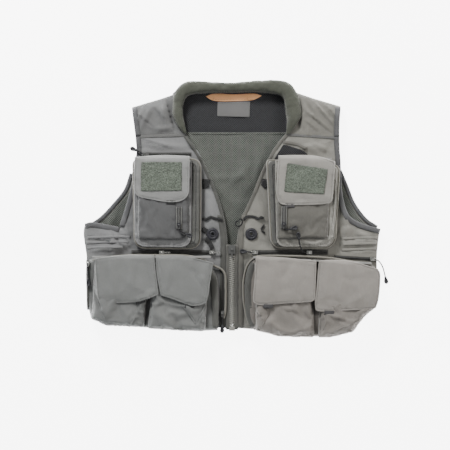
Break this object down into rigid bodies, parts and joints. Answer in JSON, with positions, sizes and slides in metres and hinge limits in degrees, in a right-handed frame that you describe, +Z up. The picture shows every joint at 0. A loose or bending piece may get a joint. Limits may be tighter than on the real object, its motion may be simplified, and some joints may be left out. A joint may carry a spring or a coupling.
{
  "type": "fishing vest",
  "caption": "Zip-front fishing vest laid flat: padded collar, mesh-lined back, zipped chest pods, flapped cargo pockets, tool-docking discs and corded zip pulls.",
  "frame": {"origin": "on the table under the middle of the vest, which lies on its back", "axes": "+Z up from the table, +Y towards the collar, +X towards the wearer's left side"},
  "size_m": [0.6013, 0.5058, 0.0469],
  "materials": {
    "shell_cloth": "plain-weave nylon, matt",
    "binding_cloth": "stretch woven binding, matt",
    "collar_knit": "brushed ribbed knit",
    "black_mesh": "open knitted mesh",
    "olive_mesh": "open knitted mesh",
    "loop_webbing": "woven webbing",
    "label_cloth": "satin woven label",
    "patch_pile": "hook-and-loop pile",
    "panel_cloth": "ripstop nylon, matt",
    "zip_tape": "woven zip tape",
    "zip_teeth": "moulded acetal",
    "slider_metal": "cast zinc, satin lacquer",
    "bright_metal": "bare cast, bright",
    "cord_black": "braided cord",
    "grip_rubber": "moulded, matt",
    "black_webbing": "woven elastic and webbing",
    "disc_plastic": "moulded, fine spark finish"
  },
  "bodies": {
    "vest": {"back_panel": "shell_cloth", "back_mesh_lining": "olive_mesh", "back_yoke_mesh": "black_mesh", "left_front": "shell_cloth", "right_front": "shell_cloth", "left_yoke": "shell_cloth", "right_yoke": "shell_cloth", "side_folds": "shell_cloth", "armhole_bindings": "binding_cloth", "collar": "collar_knit", "neck_label": "label_cloth", "centre_zip_left": "zip_teeth", "centre_zip_right": "zip_teeth", "centre_zip_box": "zip_teeth", "chest_zips": "zip_tape", "pocket_zips": "zip_tape", "flap_seats": "shell_cloth", "docking_discs": "disc_plastic", "chest_loops": "black_webbing", "left_chest_pod": "shell_cloth", "left_chest_pouch": "panel_cloth", "left_cargo_bag": "shell_cloth", "left_cargo_pouches": "shell_cloth", "right_chest_pod": "shell_cloth", "right_chest_pouch": "panel_cloth", "right_cargo_bag": "shell_cloth", "right_cargo_pouches": "shell_cloth", "right_side_slider": "bright_metal"},
    "hang_loop": {"hang_loop": "loop_webbing"},
    "left_chest_flap": {"left_chest_flap": "shell_cloth", "left_loop_patch": "patch_pile"},
    "left_inner_flap": {"left_inner_flap": "shell_cloth"},
    "left_outer_flap": {"left_outer_flap": "shell_cloth"},
    "right_chest_flap": {"right_chest_flap": "shell_cloth", "right_loop_patch": "patch_pile"},
    "right_inner_flap": {"right_inner_flap": "shell_cloth"},
    "right_outer_flap": {"right_outer_flap": "shell_cloth"},
    "centre_zip_slider": {"centre_zip_slider": "slider_metal"},
    "centre_zip_pull": {"centre_zip_pull": "slider_metal"},
    "left_chest_slider": {"left_chest_slider": "bright_metal"},
    "left_chest_pull": {"left_chest_pull": "grip_rubber"},
    "right_chest_slider": {"right_chest_slider": "bright_metal"},
    "right_chest_pull": {"right_chest_pull": "grip_rubber"},
    "left_under_slider": {"left_under_slider": "bright_metal"},
    "left_under_pull": {"left_under_pull": "bright_metal"},
    "left_centre_slider": {"left_centre_slider": "bright_metal"},
    "left_centre_pull": {"left_centre_pull": "bright_metal"},
    "right_under_slider": {"right_under_slider": "bright_metal"},
    "right_under_pull": {"right_under_pull": "grip_rubber", "right_under_cord": "cord_black"},
    "right_centre_slider": {"right_centre_slider": "bright_metal"},
    "right_centre_pull": {"right_centre_pull": "grip_rubber"},
    "left_top_slider": {"left_top_slider": "bright_metal"},
    "left_top_pull": {"left_top_pull": "grip_rubber"},
    "right_side_pull": {"right_side_pull": "grip_rubber", "right_side_cord": "cord_black"},
    "left_inner_slider": {"left_inner_slider": "bright_metal"},
    "left_inner_pull": {"left_inner_pull": "grip_rubber"},
    "left_edge_slider": {"left_edge_slider": "bright_metal"},
    "left_edge_pull": {"left_edge_pull": "grip_rubber"}
  },
  "joints": [
    {"name": "hang_loop_swing", "type": "hinge", "parent": "vest", "child": "hang_loop", "pos_m": [0, 0.2235, 0.0029], "axis": [-1, 0, 0], "range_deg": [0, 90]},
    {"name": "left_chest_flap_hinge", "type": "hinge", "parent": "vest", "child": "left_chest_flap", "pos_m": [-0.131, 0.101, 0.0384], "axis": [-1, 0, 0], "range_deg": [0, 130]},
    {"name": "left_inner_flap_hinge", "type": "hinge", "parent": "vest", "child": "left_inner_flap", "pos_m": [-0.097, -0.0915, 0.0434], "axis": [-1, 0, 0], "range_deg": [0, 130]},
    {"name": "left_outer_flap_hinge", "type": "hinge", "parent": "vest", "child": "left_outer_flap", "pos_m": [-0.215, -0.0915, 0.0434], "axis": [-1, 0, 0], "range_deg": [0, 130]},
    {"name": "right_chest_flap_hinge", "type": "hinge", "parent": "vest", "child": "right_chest_flap", "pos_m": [0.143, 0.10086, 0.0384], "axis": [-0.9994, 0.0349, 0], "range_deg": [0, 130]},
    {"name": "right_inner_flap_hinge", "type": "hinge", "parent": "vest", "child": "right_inner_flap", "pos_m": [0.0969, -0.09527, 0.0434], "axis": [-0.9986, 0.0523, 0], "range_deg": [0, 130]},
    {"name": "right_outer_flap_hinge", "type": "hinge", "parent": "vest", "child": "right_outer_flap", "pos_m": [0.21474, -0.10144, 0.0434], "axis": [-0.9986, 0.0523, 0], "range_deg": [0, 130]},
    {"name": "centre_slider_slide", "type": "slide", "parent": "vest", "child": "centre_zip_slider", "axis": [0, -1, 0], "range_m": [0, 0.14]},
    {"name": "centre_pull_swing", "type": "hinge", "parent": "centre_zip_slider", "child": "centre_zip_pull", "pos_m": [0, -0.079, 0.0199], "axis": [-1, 0, 0], "range_deg": [0, 110]},
    {"name": "left_chest_slider_slide", "type": "slide", "parent": "vest", "child": "left_chest_slider", "axis": [0, 1, 0], "range_m": [0, 0.028]},
    {"name": "left_chest_pull_swing", "type": "hinge", "parent": "left_chest_slider", "child": "left_chest_pull", "pos_m": [-0.103, -0.032, 0.0438], "axis": [-1, 0, 0], "range_deg": [0, 110]},
    {"name": "right_chest_slider_slide", "type": "slide", "parent": "vest", "child": "right_chest_slider", "axis": [0.0349, 0.9994, 0], "range_m": [0, 0.028]},
    {"name": "right_chest_pull_swing", "type": "hinge", "parent": "right_chest_slider", "child": "right_chest_pull", "pos_m": [0.10038, -0.03073, 0.0438], "axis": [-0.9994, 0.0349, 0], "range_deg": [0, 110]},
    {"name": "left_under_slider_slide", "type": "slide", "parent": "vest", "child": "left_under_slider", "axis": [-1, 0, 0], "range_m": [0, 0.048]},
    {"name": "left_under_pull_swing", "type": "hinge", "parent": "left_under_slider", "child": "left_under_pull", "pos_m": [-0.138, -0.085, 0.0208], "axis": [0, -1, 0], "range_deg": [0, 110]},
    {"name": "left_centre_slider_slide", "type": "slide", "parent": "vest", "child": "left_centre_slider", "axis": [-1, 0, 0], "range_m": [0, 0.06]},
    {"name": "left_centre_pull_swing", "type": "hinge", "parent": "left_centre_slider", "child": "left_centre_pull", "pos_m": [-0.0395, -0.085, 0.0208], "axis": [0, -1, 0], "range_deg": [0, 110]},
    {"name": "right_under_slider_slide", "type": "slide", "parent": "vest", "child": "right_under_slider", "axis": [-1, 0, 0], "range_m": [0, 0.058]},
    {"name": "right_under_pull_swing", "type": "hinge", "parent": "right_under_slider", "child": "right_under_pull", "pos_m": [0.152, -0.085, 0.0208], "axis": [0, 1, 0], "range_deg": [0, 85]},
    {"name": "right_centre_slider_slide", "type": "slide", "parent": "vest", "child": "right_centre_slider", "axis": [1, 0, 0], "range_m": [0, 0.024]},
    {"name": "right_centre_pull_swing", "type": "hinge", "parent": "right_centre_slider", "child": "right_centre_pull", "pos_m": [0.046, -0.085, 0.0208], "axis": [0, 1, 0], "range_deg": [0, 40]},
    {"name": "left_top_slider_slide", "type": "slide", "parent": "vest", "child": "left_top_slider", "axis": [1, 0, 0], "range_m": [0, 0.07]},
    {"name": "left_top_pull_swing", "type": "hinge", "parent": "left_top_slider", "child": "left_top_pull", "pos_m": [-0.1675, 0.1075, 0.0208], "axis": [0, 1, 0], "range_deg": [0, 45]},
    {"name": "right_side_pull_swing", "type": "hinge", "parent": "vest", "child": "right_side_pull", "pos_m": [0.276, -0.09815, 0.0208], "axis": [-0.0523, -0.9986, 0], "range_deg": [0, 80]},
    {"name": "left_inner_slider_slide", "type": "slide", "parent": "vest", "child": "left_inner_slider", "axis": [0, 1, 0], "range_m": [0, 0.07]},
    {"name": "left_inner_pull_swing", "type": "hinge", "parent": "left_inner_slider", "child": "left_inner_pull", "pos_m": [-0.0185, -0.2045, 0.0208], "axis": [-1, 0, 0], "range_deg": [0, 110]},
    {"name": "left_edge_slider_slide", "type": "slide", "parent": "vest", "child": "left_edge_slider", "axis": [0, -1, 0], "range_m": [0, 0.05]},
    {"name": "left_edge_pull_swing", "type": "hinge", "parent": "left_edge_slider", "child": "left_edge_pull", "pos_m": [-0.2805, -0.1045, 0.0348], "axis": [-1, 0, 0], "range_deg": [0, 110]}
  ]
}
